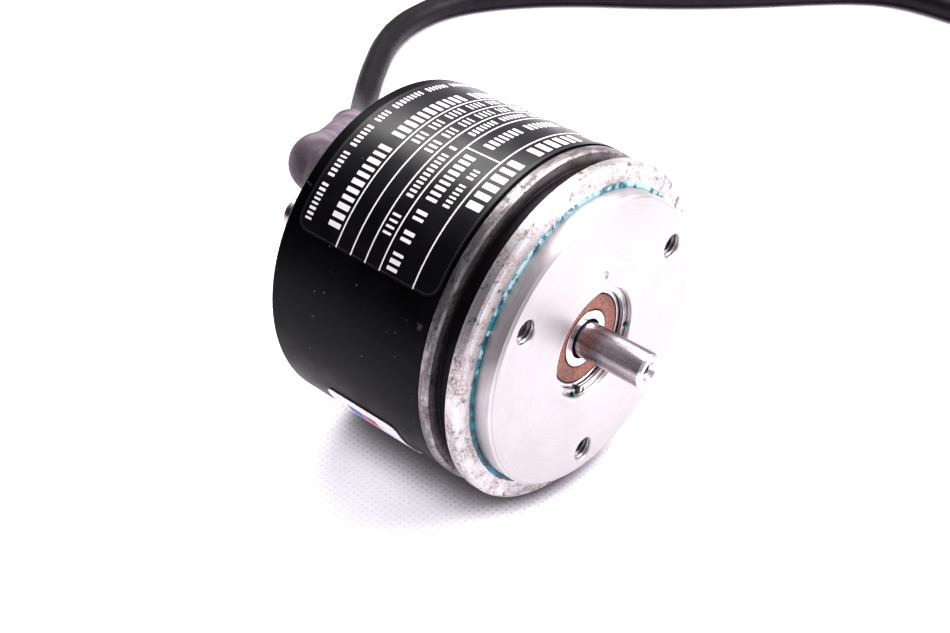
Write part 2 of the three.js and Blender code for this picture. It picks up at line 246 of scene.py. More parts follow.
def carved(bm, *tools):
    """The first bmesh with the others cut out of it."""
    holders = [placed("carving", meshed("carving", source)) for source in (bm, joined(*tools))]
    target, cutter = holders
    boolean = target.modifiers.new("cut", "BOOLEAN")
    boolean.operation = "DIFFERENCE"
    boolean.solver = "EXACT"
    boolean.use_self = True
    boolean.object = cutter
    depsgraph = bpy.context.evaluated_depsgraph_get()
    result = bpy.data.meshes.new_from_object(target.evaluated_get(depsgraph))
    whole = bmesh.new()
    whole.from_mesh(result)
    bpy.data.meshes.remove(result)
    for holder in holders:
        mesh = holder.data
        bpy.data.objects.remove(holder)
        bpy.data.meshes.remove(mesh)
    bmesh.ops.remove_doubles(whole, verts=whole.verts, dist=1e-4)
    return whole


def moved(bm, x, y, z):
    """The same bmesh, shifted."""
    bm.transform(Matrix.Translation((x, y, z)))
    return bm


def drill(radius, front, rear, at, countersink=0.0):
    """A cutter along Y for a hole that opens at front, with an optional countersink there."""
    outline = [(0, front - 1), (radius + countersink, front - 1), (radius + countersink, front),
               (radius, front + countersink), (radius, rear), (0, rear + 0.5 * radius)]
    return moved(lathe(outline, HOLE_SEGMENTS), at.x, 0, at.z)


def box(x, y, z, at):
    """A block with its middle at a point."""
    bm = bmesh.new()
    bmesh.ops.create_cube(bm, size=1, matrix=Matrix.Translation(at) @ Matrix.Diagonal((x, y, z, 1)))
    return bm


# ---------- material helpers ----------
class Surface:
    """One procedural material, with short names for the nodes that make it."""

    def __init__(self, name):
        self.material = bpy.data.materials.new(name)
        self.material.use_nodes = True
        self.tree = self.material.node_tree
        self.shader = self.tree.nodes["Principled BSDF"]
        source = self.tree.nodes.new("ShaderNodeTexCoord").outputs["Object"]
        mapping = self.tree.nodes.new("ShaderNodeMapping")
        mapping.inputs["Location"].default_value = (0, 19.5, -29)
        mapping.inputs["Scale"].default_value = (1000, 1000, 1000)
        self.tree.links.new(source, mapping.inputs["Vector"])
        self.place = mapping.outputs["Vector"]      # mm from the middle of the collar's face

    def put(self, socket, value):
        """Links another node's output to a socket, or sets the socket's own value."""
        if isinstance(value, bpy.types.NodeSocket):
            self.tree.links.new(value, socket)
        else:
            socket.default_value = value

    def math(self, operation, a, b=0.0):
        made = self.tree.nodes.new("ShaderNodeMath")
        made.operation = operation
        for socket, value in zip(made.inputs, (a, b)):
            self.put(socket, value)
        return made.outputs[0]

    def split(self):
        """The place's x, y and z."""
        made = self.tree.nodes.new("ShaderNodeSeparateXYZ")
        self.put(made.inputs[0], self.place)
        return made.outputs

    def radius(self):
        """Distance from the encoder's axis."""
        x, _, z = self.split()
        squares = self.math("ADD", self.math("MULTIPLY", x, x), self.math("MULTIPLY", z, z))
        return self.math("SQRT", squares)

    def turned(self, across, along):
        """Coordinates that run round the axis, for marks that a lathe leaves."""
        made = self.tree.nodes.new("ShaderNodeCombineXYZ")
        x, y, z = self.split()
        self.put(made.inputs[0], self.math("MULTIPLY", self.radius(), across))
        self.put(made.inputs[1], self.math("MULTIPLY", y, across))
        self.put(made.inputs[2], self.math("MULTIPLY", self.math("ARCTAN2", z, x), along))
        return made.outputs[0]

    def stretched(self, x, y, z):
        """The place with its own scale along each axis."""
        made = self.tree.nodes.new("ShaderNodeMapping")
        made.inputs["Scale"].default_value = (x, y, z)
        self.put(made.inputs["Vector"], self.place)
        return made.outputs[0]

    def noise(self, scale, detail=4.0, rough=0.55, at=None, distortion=0.0):
        made = self.tree.nodes.new("ShaderNodeTexNoise")
        made.inputs["Scale"].default_value = scale
        made.inputs["Detail"].default_value = detail
        made.inputs["Roughness"].default_value = rough
        made.inputs["Distortion"].default_value = distortion
        self.put(made.inputs["Vector"], at or self.place)
        return made.outputs["Fac"]

    def cells(self, scale, feature="F1"):
        """Distance to the nearest of many scattered points, or to the border between their cells."""
        made = self.tree.nodes.new("ShaderNodeTexVoronoi")
        made.feature = feature
        made.inputs["Scale"].default_value = scale
        self.put(made.inputs["Vector"], self.place)
        return made.outputs["Distance"]

    def band(self, value, low, high, start=0.0, end=1.0):
        """A smooth step from start to end while value goes from low to high."""
        made = self.tree.nodes.new("ShaderNodeMapRange")
        made.interpolation_type = "SMOOTHSTEP"
        self.put(made.inputs["Value"], value)
        made.inputs["From Min"].default_value = low
        made.inputs["From Max"].default_value = high
        made.inputs["To Min"].default_value = start
        made.inputs["To Max"].default_value = end
        return made.outputs["Result"]

    def round_the_axis(self):
        """The direction that lathe marks run in."""
        made = self.tree.nodes.new("ShaderNodeTangent")
        made.direction_type = "RADIAL"
        made.axis = "Y"
        return made.outputs["Tangent"]

    def times(self, *factors):
        result = factors[0]
        for factor in factors[1:]:
            result = self.math("MULTIPLY", result, factor)
        return result

    def mix(self, factor, first, second):
        made = self.tree.nodes.new("ShaderNodeMix")
        made.data_type = "RGBA"
        colours = [socket for socket in made.inputs if socket.type == "RGBA"]
        self.put(made.inputs["Factor"], factor)
        for socket, colour in zip(colours, (first, second)):
            self.put(socket, colour if isinstance(colour, bpy.types.NodeSocket) else (*colour, 1))
        return next(socket for socket in made.outputs if socket.type == "RGBA")

    def bump(self, height, distance, strength=1.0, over=None):
        """Relief of the given depth in millimetres."""
        made = self.tree.nodes.new("ShaderNodeBump")
        made.inputs["Strength"].default_value = strength
        made.inputs["Distance"].default_value = distance * MM
        self.put(made.inputs["Height"], height)
        if over:
            self.put(made.inputs["Normal"], over)
        return made.outputs["Normal"]

    def done(self, colour, roughness, normal=None, **values):
        self.put(self.shader.inputs["Base Color"], colour)
        self.put(self.shader.inputs["Roughness"], roughness)
        if normal:
            self.put(self.shader.inputs["Normal"], normal)
        for name, value in values.items():
            self.put(self.shader.inputs[name.replace("_", " ")], value)
        return self.material


def worn_aluminium():
    """Turned aluminium with brown stains and pits on the rims; painted shade darkens the collar's face, the
    clamping groove and the tapped holes.
    """
    s = Surface("worn_aluminium")
    y = s.split()[1]
    radius = s.radius()
    rim = s.band(radius, COLLAR_RADIUS + 0.1, COLLAR_RADIUS + 0.8)
    grain = s.noise(1.6, 5, at=s.turned(2.2, 1.5))
    streak = s.noise(1.0, 3, at=s.turned(5.0, 2.0))
    colour = s.mix(s.band(s.noise(0.12, 3), 0.35, 0.7), (0.60, 0.570, 0.577), (0.47, 0.445, 0.452))

    # painted shade: the collar's front face gets a darker colour than the rims, to hold back its brightness
    # under the key light
    face = s.times(s.band(y, 0.1, 0.5, 1, 0), s.band(radius, 9.8, 10.2))
    colour = s.mix(s.times(face, 0.85), colour, (0.375, 0.352, 0.357))
    colour = s.mix(s.times(s.band(grain, 0.48, 0.72), 0.6), colour, (0.36, 0.33, 0.335))

    patches = s.band(s.noise(0.34, 6, 0.65), 0.44, 0.62)
    stain = s.times(rim, patches, s.band(s.noise(2.1, 5, 0.7), 0.36, 0.60))
    colour = s.mix(s.times(stain, 0.7), colour, (0.215, 0.135, 0.110))
    soot = s.times(rim, s.band(s.noise(1.1, 8, 0.75, at=s.turned(0.6, 14)), 0.54, 0.64))
    colour = s.mix(s.times(soot, 0.8), colour, (0.055, 0.045, 0.050))
    pits = s.times(rim, s.band(s.cells(0.75), 0.08, 0.18, 1, 0), s.band(s.noise(0.5, 2), 0.50, 0.62))
    colour = s.mix(pits, colour, (0.02, 0.017, 0.02))

    scuffs = s.band(s.noise(0.8, 5, at=s.turned(1.2, 9)), 0.40, 0.56, 0.45, 0.80)
    second_rim = s.times(s.band(y, GROOVE_REAR - 0.2, GROOVE_REAR + 0.1), scuffs)
    colour = s.mix(second_rim, colour, (0.085, 0.075, 0.080))
    # painted shade: the clamping groove's floor and walls are painted nearly black, as shade in the recess
    groove = s.times(s.band(radius, GROOVE_FLOOR + 0.1, GROOVE_FLOOR + 1.7, 1, 0),
                     s.band(radius, GROOVE_FLOOR - 0.3, GROOVE_FLOOR - 0.1),
                     s.band(y, GROOVE_FRONT - 0.15, GROOVE_FRONT + 0.05),
                     s.band(y, GROOVE_REAR - 0.05, GROOVE_REAR + 0.15, 1, 0))
    colour = s.mix(groove, colour, (0.022, 0.018, 0.021))
    # painted shade: the bores of the tapped holes, and a little of the punch mark, are painted dark as
    # shade inside them
    holes = s.times(s.band(y, 0.05, 1.2), s.band(y, 7.5, 8, 1, 0), s.band(radius, 11, 11.2),
                    s.band(radius, 23.4, 23.5, 1, 0))
    colour = s.mix(s.times(holes, 0.85), colour, (0.055, 0.045, 0.048))

    roughness = s.math("ADD", s.band(streak, 0.3, 0.7, 0.34, 0.48), s.times(stain, 0.2))
    relief = s.bump(streak, 0.006, 0.8)
    relief = s.bump(s.math("SUBTRACT", grain, s.times(pits, 3.0)), 0.02, 0.7, relief)
    return s.done(colour, roughness, relief, Metallic=0.9, Anisotropic=0.5, Anisotropic_Rotation=0.25,
                  Tangent=s.round_the_axis())


def black_case():
    """Satin black finish with fine orange peel, dust and a few light scratches."""
    s = Surface("black_case")
    haze = s.noise(0.08, 3)
    peel = s.noise(2.6, 3)
    dust = s.times(s.band(s.cells(0.55), 0.045, 0.07, 1, 0), s.band(s.noise(0.3, 2), 0.5, 0.56))
    strands = s.noise(0.9, 1, at=s.stretched(1.0, 0.12, 0.35), distortion=0.4)
    scratch = s.times(s.band(strands, 0.715, 0.735), s.band(s.noise(0.4, 2), 0.52, 0.62))
    colour = s.mix(s.band(haze, 0.3, 0.7), (0.0012, 0.0010, 0.0015), (0.0030, 0.0026, 0.0034))
    colour = s.mix(dust, colour, (0.30, 0.28, 0.30))
    colour = s.mix(s.times(scratch, 0.5), colour, (0.10, 0.09, 0.10))
    roughness = s.band(s.noise(0.22, 5), 0.3, 0.7, 0.31, 0.40)
    return s.done(colour, roughness, s.bump(peel, 0.004, 0.6), Specular_IOR_Level=0.07)


def label_foil():
    """Black foil, a little glossier than the case, with the dull haze of handling."""
    s = Surface("label_foil")
    smear = s.noise(0.16, 5, at=s.stretched(0.5, 1.0, 1.0))
    speck = s.times(s.band(s.cells(0.45), 0.035, 0.055, 1, 0), s.band(s.noise(0.35, 2), 0.52, 0.58))
    colour = s.mix(s.band(smear, 0.35, 0.7), (0.0016, 0.0013, 0.0020), (0.0050, 0.0043, 0.0056))
    colour = s.mix(speck, colour, (0.20, 0.18, 0.20))
    roughness = s.band(s.noise(0.3, 6), 0.3, 0.7, 0.27, 0.36)
    return s.done(colour, roughness, s.bump(s.noise(3.5, 2), 0.002, 0.5), Specular_IOR_Level=0.32)


def ink(name, colour, worn, wear_from=0.62):
    """Printing ink, thinned here and there where fingers have rubbed it."""
    s = Surface(name)
    rubbed = s.band(s.noise(2.2, 5, 0.7), wear_from, wear_from + 0.12)
    tone = s.mix(s.times(rubbed, 0.75), colour, worn)
    return s.done(tone, s.band(s.noise(0.5, 3), 0.3, 0.7, 0.35, 0.5))


def white_foil():
    """White foil with a little grime."""
    s = Surface("white_foil")
    grime = s.band(s.noise(0.5, 6, 0.65), 0.45, 0.75)
    colour = s.mix(s.times(grime, 0.6), (0.80, 0.80, 0.83), (0.52, 0.50, 0.53))
    roughness = s.band(s.noise(0.3, 3), 0.3, 0.7, 0.3, 0.42)
    return s.done(colour, roughness, s.bump(s.noise(1.2, 2), 0.006, 0.5))


def polished_steel():
    """Ground steel: lines round the axis, faint bloom, dark specks; dark bands along the shaft are a
    painted reflection, and the gap round the shaft is painted shade.
    """
    s = Surface("polished_steel")
    x, y, z = s.split()
    radius = s.radius()
    lines = s.noise(1.0, 2, at=s.turned(9.0, 0.6))
    lengthwise = s.tree.nodes.new("ShaderNodeCombineXYZ")
    s.put(lengthwise.inputs[0], s.times(s.math("ARCTAN2", z, x), 3.2))
    s.put(lengthwise.inputs[1], s.times(y, 0.03))
    # painted reflection: dark bands along the shaft's length, fixed to the angle round the axis
    painted_reflection_streaks = s.noise(1.0, 4, 0.6, at=lengthwise.outputs[0])
    bloom = s.band(s.noise(0.35, 5, 0.6), 0.45, 0.7)
    specks = s.times(s.band(s.cells(1.4), 0.07, 0.12, 1, 0), s.band(s.noise(0.8, 2), 0.55, 0.65))
    colour = s.mix(s.times(bloom, 0.6), (0.52, 0.485, 0.510), (0.38, 0.325, 0.340))
    colour = s.mix(s.times(s.band(lines, 0.5, 0.8), 0.35), colour, (0.34, 0.30, 0.32))

    on_shaft = s.times(s.band(radius, SHAFT_RADIUS - 0.1, SHAFT_RADIUS - 0.02),
                       s.band(radius, SHAFT_RADIUS + 0.01, SHAFT_RADIUS + 0.03, 1, 0))
    colour = s.mix(s.times(s.band(painted_reflection_streaks, 0.46, 0.58), on_shaft, 0.5), colour, (0.150, 0.120, 0.135))
    colour = s.mix(s.times(specks, 0.7), colour, (0.12, 0.09, 0.09))
    # painted shade: the inner ring's chamfer and bore next to the shaft are painted nearly black, as shade
    # in the gap between the parts
    shaft_gap_shade = s.times(s.band(radius, SHAFT_RADIUS + 0.02, SHAFT_RADIUS + 0.06),
                          s.band(radius, SHAFT_RADIUS + 0.42, SHAFT_RADIUS + 0.55, 1, 0),
                          s.band(y, 1.8, 1.95))
    colour = s.mix(shaft_gap_shade, colour, (0.012, 0.009, 0.010))
    roughness = s.band(lines, 0.3, 0.7, 0.22, 0.28)
    return s.done(colour, roughness, s.bump(lines, 0.0002, 0.3), Metallic=1.0, Anisotropic=0.6,
                  Anisotropic_Rotation=0.25, Tangent=s.round_the_axis())


def metal(name, bright, dull, smooth, rough):
    """Plain machined or plated metal with lathe marks, bloom and uneven roughness."""
    s = Surface(name)
    bloom = s.band(s.noise(0.3, 5, 0.6), 0.4, 0.7)
    lines = s.noise(1.2, 3, at=s.turned(4.0, 0.8))
    colour = s.mix(bloom, bright, dull)
    colour = s.mix(s.times(s.band(lines, 0.55, 0.8), 0.5), colour, dull)
    roughness = s.band(lines, 0.3, 0.7, smooth, rough)
    return s.done(colour, roughness, s.bump(lines, 0.004, 0.7), Metallic=1.0)


def seal_brown():
    """Brown seal with a fine woven skin and darker, oily patches."""
    s = Surface("seal_brown")
    weave_a = s.noise(1.0, 2, at=s.stretched(5.5, 1.0, 1.6))
    weave_b = s.noise(1.0, 2, at=s.stretched(1.6, 1.0, 5.5))
    weave = s.math("MAXIMUM", weave_a, weave_b)
    colour = s.mix(s.band(weave, 0.42, 0.68), (0.120, 0.038, 0.024), (0.285, 0.108, 0.072))
    colour = s.mix(s.band(s.noise(0.55, 4), 0.52, 0.72), colour, (0.150, 0.048, 0.030))
    radius = s.radius()
    edge = s.math("MAXIMUM", s.band(radius, 7.45, 7.7), s.band(radius, 5.05, 5.3, 1, 0))
    colour = s.mix(s.times(edge, 0.85), colour, (0.035, 0.015, 0.012))
    return s.done(colour, s.band(weave, 0.3, 0.7, 0.75, 0.5), s.bump(weave, 0.05, 0.8))


def lacquer():
    """Teal locking lacquer, brushed on thin and flaking off where it thins out; the light patches are
    partly real flaking and partly a painted highlight, with more of them on the top.
    """
    s = Surface("teal_lacquer")
    thin = s.noise(0.45, 6, 0.7)
    # painted highlight: the light patches grow more common towards the top of the bead
    painted_highlight_on_top = s.band(s.split()[2], 0, 20, 0, 0.13)
    flaking_and_highlight = s.band(s.math("ADD", thin, painted_highlight_on_top), 0.59, 0.67)
    deep = s.band(s.noise(0.6, 4), 0.36, 0.60)
    colour = s.mix(deep, (0.0, 0.170, 0.225), (0.0, 0.040, 0.062))
    colour = s.mix(s.times(flaking_and_highlight, 0.8), colour, (0.36, 0.52, 0.54))
    return s.done(colour, s.band(thin, 0.3, 0.7, 0.35, 0.6), s.bump(thin, 0.05, 0.6))


def soft(name, dark, light, smooth, rough, grain, relief, specular=0.4):
    """Rubber or plastic: mottled colour, matt skin, fine grain."""
    s = Surface(name)
    mottle = s.noise(0.22, 6, 0.6)
    skin = s.noise(grain, 4)
    colour = s.mix(s.band(mottle, 0.35, 0.7), dark, light)
    roughness = s.band(skin, 0.3, 0.7, smooth, rough)
    return s.done(colour, roughness, s.bump(skin, relief, 0.7), Specular_IOR_Level=specular)


def board_green():
    """Green laminate with lighter lines where copper runs under the mask."""
    s = Surface("board_green")
    copper = s.band(s.cells(0.4, feature="DISTANCE_TO_EDGE"), 0.08, 0.12, 1, 0)
    colour = s.mix(copper, (0.012, 0.095, 0.035), (0.035, 0.20, 0.075))
    return s.done(colour, s.band(s.noise(1.0, 3), 0.3, 0.7, 0.25, 0.4), s.bump(copper, 0.03, 0.6))


DISC_LINES = 500


def optical_glass():
    """Clear glass with a faint green edge; the code track is a ring of fine radial lines."""
    s = Surface("optical_glass")
    x, _, z = s.split()
    radius = s.radius()
    angle = s.math("ARCTAN2", z, x)
    lines = s.band(s.math("SINE", s.math("MULTIPLY", angle, DISC_LINES)), -0.1, 0.1)
    track = s.times(s.band(radius, 15.8, 15.9), s.band(radius, 18.9, 19.0, 1, 0), lines)
    colour = s.mix(s.band(s.noise(0.3, 2), 0.3, 0.7), (0.80, 0.90, 0.88), (0.70, 0.82, 0.81))
    colour = s.mix(track, colour, (0.02, 0.02, 0.02))
    return s.done(colour, s.band(s.noise(0.6, 3), 0.3, 0.7, 0.03, 0.09), Transmission_Weight=0.85)


MATERIALS = {
    "worn_aluminium": worn_aluminium(),
    "black_case": black_case(),
    "label_foil": label_foil(),
    "white_foil": white_foil(),
    "polished_steel": polished_steel(),
    "spring_steel": metal("spring_steel", (0.52, 0.50, 0.51), (0.27, 0.24, 0.24), 0.20, 0.36),
    "seal_brown": seal_brown(),
    "brass": metal("brass", (0.72, 0.50, 0.22), (0.48, 0.31, 0.12), 0.25, 0.40),
    "optical_glass": optical_glass(),
    "board_green": board_green(),
    "dark_plastic": soft("dark_plastic", (0.012, 0.011, 0.013), (0.026, 0.023, 0.028),
                         0.42, 0.58, 3.0, 0.01),
    "nickel_plate": metal("nickel_plate", (0.66, 0.63, 0.59), (0.48, 0.45, 0.42), 0.16, 0.30),
    "grey_rubber": soft("grey_rubber", (0.078, 0.056, 0.072), (0.175, 0.134, 0.165), 0.55, 0.75, 2.2, 0.02),
    "cable_sheath": soft("cable_sheath", (0.0034, 0.0018, 0.0042), (0.0085, 0.0050, 0.0100),
                         0.45, 0.60, 2.0, 0.01, specular=0.2),
    "contact_gold": soft("contact_gold", (0.010, 0.010, 0.010), (0.022, 0.021, 0.020),
                         0.38, 0.55, 2.5, 0.01),
}
GILT = metal("gilt_contacts", (0.95, 0.70, 0.30), (0.75, 0.50, 0.20), 0.14, 0.28)
TEAL = lacquer()
WHITE_INK = ink("white_ink", (0.82, 0.79, 0.80), (0.20, 0.18, 0.19))
FAINT_INK = ink("faint_ink", (0.030, 0.024, 0.026), (0.008, 0.007, 0.008), 0.50)
BLUE_INK = ink("blue_ink", (0.050, 0.085, 0.42), (0.40, 0.42, 0.60))
RED_INK = ink("red_ink", (0.52, 0.035, 0.065), (0.62, 0.42, 0.45))

# CAD nodes that keep their shape get the material of their slot.
for part in frame["record"]["subparts"]:
    node = frame["nodes"][part["node"]]
    node.data.materials.clear()
    node.data.materials.append(MATERIALS[part["material_slot"]])


# ---------- cable ----------
BOOT_ROUTE = [(-6.5, 49.8, 42), (-6.6, 53, 42), (-6.2, 56, 41.8), (-3.4, 58.8, 41), (1.5, 61.2, 39.4),
              (9.5, 65.9, 36.5), (17, 72, 32.4)]
RUN_ROUTE = [
    (17.3, 72.2, 32.2), (25, 79, 26.6), (34, 87.5, 20), (44, 97.5, 12.5), (53, 107, 6.6), (61, 114.6, 3.4),
    (69, 121, 3), (77.5, 127, 3), (85.5, 132, 3), (94, 135.6, 3), (103, 137, 3), (112, 136, 3),
    (121, 132, 3), (130, 125.5, 3), (141, 114.5, 3), (151, 102, 3), (161, 90.5, 3), (172, 79.5, 3),
    (183, 69.3, 3), (190, 62, 3), (194.8, 54.5, 3), (196.8, 46, 3), (197.2, 37, 3), (199.3, 26, 3),
    (202.8, 14.5, 3), (205.8, 3.6, 3), (208.7, -5.9, 3), (210.4, -14.8, 3), (211, -27, 3),
]
TAIL_ROUTE = [(177, -55.3, 9.3), (168, -60.5, 9.4), (159, -65.4, 9.8), (150, -69.7, 10.6), (141, -73, 11.6),
              (132.8, -74.6, 12.3)]
COIL_CENTRE = (172, -27)
OUTER_TURN = 39
STACK_HEIGHT = 6.3      # how far a turn that lies on another is above the ground turns


def eased(value):
    """A smooth step from 0 to 1, flat outside."""
    value = min(max(value, 0.0), 1.0)
    return value * value * (3 - 2 * value)


def coil():
    """Three turns side by side, each a cable's width inside the last; the end climbs over them."""
    step = 15
    shift_over = 60         # degrees in which a turn moves inwards
    climb_from = 950
    climb_over = 80
    last = 1140             # three turns and a sixth
    points = []
    for turned_by in range(step, last + 1, step):
        inward = sum(eased((turned_by - 360 * turn + shift_over) / shift_over) for turn in (1, 2))
        angle = math.radians(-turned_by)
        radius = OUTER_TURN - 2 * CABLE_RADIUS * inward
        height = CABLE_RADIUS + STACK_HEIGHT * eased((turned_by - climb_from) / climb_over)
        points.append((COIL_CENTRE[0] + radius * math.cos(angle), COIL_CENTRE[1] + radius * math.sin(angle),
                       height))
    return points


def cable():
    """The whole cable as one curve, from inside the boot to inside the connector."""
    start = [(5.5, 63.4, 38.2), (9.5, 65.9, 36.5)]
    route = [GROUND @ Vector(point) for point in start + RUN_ROUTE + coil() + TAIL_ROUTE]
    curve = bpy.data.curves.new("cable", "CURVE")
    curve.dimensions = "3D"
    curve.bevel_depth = CABLE_RADIUS * MM
    curve.bevel_resolution = 7
    curve.resolution_u = 6
    curve.use_fill_caps = True
    spline = curve.splines.new("BEZIER")
    spline.bezier_points.add(len(route) - 1)
    for point, place in zip(spline.bezier_points, route):
        point.co = place
        point.handle_left_type = "AUTO"
        point.handle_right_type = "AUTO"
    curve.materials.append(MATERIALS["cable_sheath"])
    made = placed("cable", curve)
    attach(made, "stator")
    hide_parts("cable_run", "cable_coil", "cable_tail")
    return made


def boot():
    """Bend relief: a thick collar at the outlet, a tapering ribbed sleeve, a thin lip round the cable."""
    route = smooth_route(BOOT_ROUTE, 12)
    radii = []
    for index in range(len(route)):
        along = index / (len(route) - 1)
        radius = 6.0 - 1.2 * eased(along / 0.2) - 1.2 * eased((along - 0.3) / 0.4)
        rib = max(0.0, math.sin(along * 2 * math.pi * 11)) if 0.5 < along < 0.92 else 0
        lip = 0.3 if along > 0.96 else 0
        radii.append(radius - 0.16 * rib + lip)
    radii[0] -= 0.5
    radii[-1] -= 0.35
    return sweep(route, radii, 40)


cable_piece = cable()
boot_piece = piece("cable_boot_sleeve", boot(), MATERIALS["grey_rubber"], ["cable_boot"],
                   place=GROUND, sharp=50)

# ---------- connector ----------
CONNECTOR_AT = (132.5, -74.6, 12.5)
CONNECTOR = GROUND @ Matrix.Translation(CONNECTOR_AT) @ Matrix.Rotation(math.radians(90), 4, "Z")
GRIPS = 42
CONTACTS = 12


def connector_body():
    """Shell with a cable clamp nut at the back and an open front."""
    return lathe([
        (3.35, 0), (6.1, 0, 0.3), (6.4, 0.6, 0.2), (7.4, 1.4, 0.3), (7.4, 3.0), (6.9, 3.2, 0.1),
        (6.9, 3.7, 0.1), (7.4, 3.9), (7.4, 8.5, 0.5), (9.6, 11, 0.8), (10.2, 12.6, 0.4), (10.2, 14),
        (9.8, 14.2, 0.1), (9.8, 14.8, 0.1), (10.2, 15), (10.2, 40, 0.3), (8.3, 40, 0.3), (8.3, 30),
        (3.35, 30),
    ], 96)


def knurled_ring():
    """Coupling ring with lengthwise grips between two plain bands."""
    bm = lathe([(10.4, 24, 0.2), (12.2, 24, 0.4), (12.5, 25.4, 0.3), (12.5, 26.6), (12.2, 26.9),
                (12.2, 41.6), (12.5, 41.9), (12.5, 44, 0.3), (12.1, 45, 0.4), (10.4, 45, 0.2)], 168)
    grips = [box(0.5, 13.6, 0.7, (0, 0, 0)) for _ in range(GRIPS)]
    for k, grip in enumerate(grips):
        turn = Matrix.Rotation(2 * math.pi * k / GRIPS, 4, "Y")
        on_edge = Matrix.Translation((12.22, 34.25, 0)) @ Matrix.Rotation(math.radians(45), 4, "Y")
        grip.transform(turn @ on_edge)
    return joined(bm, *grips)


def connector_insert():
    """Contact block with a key at its edge."""
    key = box(1.6, 9.5, 1.0, (0, 35.1, 7.7))
    block = lathe([(0, 30.3), (8.1, 30.3), (8.1, 36, 0.3), (7.2, 36.0), (7.0, 35.6), (0, 35.6)], 64)
    return joined(block, key)


def contact_pins():
    """Nine pins in an outer circle and three in an inner one."""
    outer = 9
    pins = []
    for k in range(CONTACTS):
        at = around(5.4, 360 / outer * k) if k < outer else around(2.2, 120 * k)
        pins.append(moved(lathe([(0, 35), (0.5, 35), (0.5, 39.4, 0.25), (0, 39.8)], 16), at.x, 0, at.z))
    return joined(*pins)


body_piece = piece("connector_shell", connector_body(), MATERIALS["nickel_plate"], ["connector_body"],
                   place=CONNECTOR)
ring_piece = piece("connector_coupling_ring", knurled_ring(), MATERIALS["nickel_plate"], ["connector_ring"],
                   place=CONNECTOR)
insert_piece = piece("connector_block", connector_insert(), MATERIALS["contact_gold"], ["connector_insert"],
                     place=CONNECTOR)
pins_piece = piece("connector_pins", contact_pins(), GILT, place=CONNECTOR)


# ---------- flange ----------
def screw_thread(radius, front, rear, at):
    """The inside of a threaded hole: a wall whose radius winds in and out along the hole."""
    pitch = 0.7
    depth = 0.38
    sides = 36
    steps = 8               # rows of faces in one turn of the thread
    bm = bmesh.new()
    rows = int((rear - front) / pitch * steps)
    previous = None
    for row in range(rows + 1):
        ring = []
        for k in range(sides):
            phase = (row / steps + k / sides) % 1
            crest = 1 - abs(2 * phase - 1)
            lead_in = min(1.0, row / (1.2 * steps))
            point = around(radius - depth * crest * lead_in, 360 * k / sides)
            ring.append(bm.verts.new((point.x + at.x, front + (rear - front) * row / rows, point.z + at.z)))
        if previous:
            for k in range(sides):
                after = (k + 1) % sides
                bm.faces.new((previous[k], ring[k], ring[after], previous[after]))
        previous = ring
    return bm


def flange():
    """Collar, rim, clamping groove and second rim, with bearing seats, threaded holes and a punch mark."""
    outline = [
        (9.75, 0, 0.1), (24.55, 0, 0.15), (COLLAR_RADIUS, 0.45, 0.15), (COLLAR_RADIUS, COLLAR_DEPTH),
        (28.6, COLLAR_DEPTH, 0.25), (RIM_RADIUS, 3.85, 0.25), (RIM_RADIUS, 5.55, 0.12),
        (28.8, GROOVE_FRONT), (GROOVE_FLOOR, GROOVE_FRONT, 0.15), (GROOVE_FLOOR, GROOVE_REAR, 0.15),
        (28.65, GROOVE_REAR, 0.2), (RIM_RADIUS, 9.6, 0.2), (RIM_RADIUS, 11, 0.1),
        (27, 11), (27, 12), (25.6, 12), (25.6, 13.8), (27, 13.8), (27, 14.5), (22.6, 14.5), (22.6, 8.5),
        (11, 8.5), (11, 19.8), (7.5, 19.8), (7.5, 13.2), (6.2, 13.2), (6.2, 9), (8.2, 9), (8.2, 8.15),
        (9.5, 8.15), (9.5, 1.95), (9.95, 1.95), (9.95, 1.05), (9.5, 1.05), (9.5, 0.3, 0.1),
    ]
    holes = [around(HOLE_CIRCLE, degrees) for degrees in FIXING_ANGLES]
    bores = [drill(2.02, 0, 6.4, at, 0.22) for at in holes]
    mark = around(12.4, 84)     # the punch mark
    dimple = bmesh.new()
    bmesh.ops.create_icosphere(dimple, subdivisions=4, radius=1.15)
    body = carved(lathe(outline, 240), *bores, moved(dimple, mark.x, -0.68, mark.z))
    threads = [screw_thread(2.0, 0.3, 6.2, at) for at in holes]
    return joined(body, *threads)


piece("flange_body", flange(), MATERIALS["worn_aluminium"], ["flange"], sharp=28)


def lacquer_bead():
    """An uneven bead brushed into the corner between collar and rim."""
    bm = bmesh.new()
    columns = 720
    sides = 8
    rings = []
    for column in range(columns):
        degrees = 360 * column / columns
        at = around(1, degrees)
        width = 0.54 + 0.14 * noise.noise(at * 5) + 0.08 * noise.noise(at * 24)
        height = 0.20 + 0.06 * noise.noise(at * 9 + Vector((3, 0, 0)))
        shift = 0.10 * noise.noise(at * 6 + Vector((0, 7, 0)))
        ring = []
        for k in range(sides):
            angle = 2 * math.pi * k / sides
            radius = COLLAR_RADIUS + 0.38 + shift + width * math.cos(angle)
            y = COLLAR_DEPTH - 0.02 + height * math.sin(angle)
            ring.append(bm.verts.new(around(radius, degrees, y)))
        rings.append(ring)
    for column, ring in enumerate(rings):
        following = rings[(column + 1) % columns]
        for k in range(sides):
            after = (k + 1) % sides
            bm.faces.new((ring[k], following[k], following[after], ring[after]))
    bmesh.ops.recalc_face_normals(bm, faces=bm.faces)
    return bm


